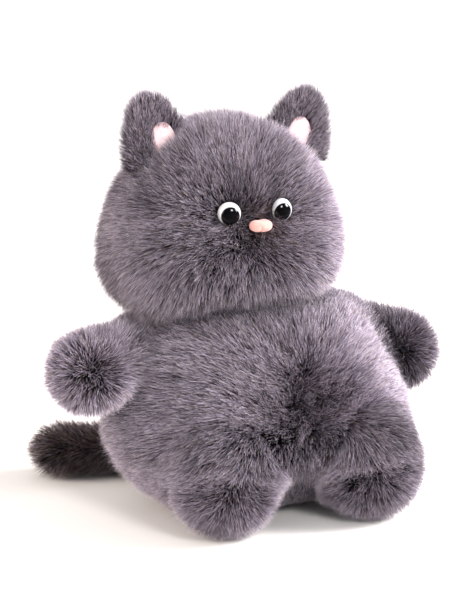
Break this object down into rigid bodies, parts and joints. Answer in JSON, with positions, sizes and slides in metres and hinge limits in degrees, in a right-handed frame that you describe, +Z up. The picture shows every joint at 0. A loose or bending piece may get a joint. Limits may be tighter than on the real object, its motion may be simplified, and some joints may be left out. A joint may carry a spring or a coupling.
{
  "type": "plush cat",
  "caption": "Fat sitting plush cat in long faux fur, with domed eyes, a small pink nose, stub limbs and a thick tail on the floor.",
  "frame": {"origin": "on the floor, in the middle of the trunk's flat seat", "axes": "+Z up; the cat faces -Y, and +X is towards its own left side"},
  "size_m": [0.3016, 0.2236, 0.2897],
  "materials": {
    "fur": "long-pile faux fur, dark roots and pale tips",
    "stuffing": "polyester fibre filling",
    "thread": "polyester sewing thread",
    "pink_plush": "short-pile pink plush",
    "nose_pink": "flocked pink nose",
    "eye_white": "polished moulding",
    "eye_black": "polished moulding",
    "nylon": "moulded nylon",
    "label_satin": "blank woven satin ribbon"
  },
  "bodies": {
    "trunk": {"body_skin": "fur", "body_stuffing": "stuffing", "back_seam": "thread", "label": "label_satin"},
    "neck": {"neck_stuffing": "stuffing", "neck_seam": "thread"},
    "head": {"head_skin": "fur", "head_stuffing": "stuffing", "ear_left_shell": "fur", "ear_left_lining": "pink_plush", "ear_right_shell": "fur", "ear_right_lining": "pink_plush", "eye_left_dome": "eye_white", "eye_left_pupil": "eye_black", "eye_left_washer": "nylon", "eye_right_dome": "eye_white", "eye_right_pupil": "eye_black", "eye_right_washer": "nylon", "nose": "nose_pink"},
    "arm_left": {"arm_left_skin": "fur", "arm_left_stuffing": "stuffing"},
    "arm_right": {"arm_right_skin": "fur", "arm_right_stuffing": "stuffing"},
    "leg_left": {"leg_left_skin": "fur", "leg_left_stuffing": "stuffing"},
    "leg_right": {"leg_right_skin": "fur", "leg_right_stuffing": "stuffing"},
    "tail": {"tail_skin": "fur", "tail_stuffing": "stuffing"}
  },
  "joints": [
    {"name": "head_turn", "type": "hinge", "parent": "trunk", "child": "neck", "pos_m": [-0.01243, 0.01602, 0.15], "axis": [0, 0, 1], "range_deg": [-20, 20], "stiffness_Nm_per_rad": 0.8},
    {"name": "head_nod", "type": "hinge", "parent": "neck", "child": "head", "pos_m": [-0.01243, 0.01602, 0.15], "axis": [1, 0, 0], "range_deg": [-7, 7], "stiffness_Nm_per_rad": 2},
    {"name": "arm_left_swing", "type": "hinge", "parent": "trunk", "child": "arm_left", "pos_m": [0.06766, 0.01228, 0.115], "axis": [0, -1, 0], "range_deg": [-12, 18], "stiffness_Nm_per_rad": 0.3},
    {"name": "arm_right_swing", "type": "hinge", "parent": "trunk", "child": "arm_right", "pos_m": [-0.08434, 0.01228, 0.115], "axis": [0, 1, 0], "range_deg": [-12, 18], "stiffness_Nm_per_rad": 0.3},
    {"name": "leg_left_lift", "type": "hinge", "parent": "trunk", "child": "leg_left", "pos_m": [0.05, -0.022, 0.04], "axis": [-1, 0, 0], "range_deg": [0, 20], "stiffness_Nm_per_rad": 0.4},
    {"name": "leg_right_lift", "type": "hinge", "parent": "trunk", "child": "leg_right", "pos_m": [-0.05, -0.022, 0.04], "axis": [-1, 0, 0], "range_deg": [0, 20], "stiffness_Nm_per_rad": 0.4},
    {"name": "tail_swing", "type": "hinge", "parent": "trunk", "child": "tail", "pos_m": [-0.016, 0.066, 0.022], "axis": [0, 0, -1], "range_deg": [-3, 35], "stiffness_Nm_per_rad": 0.2}
  ]
}
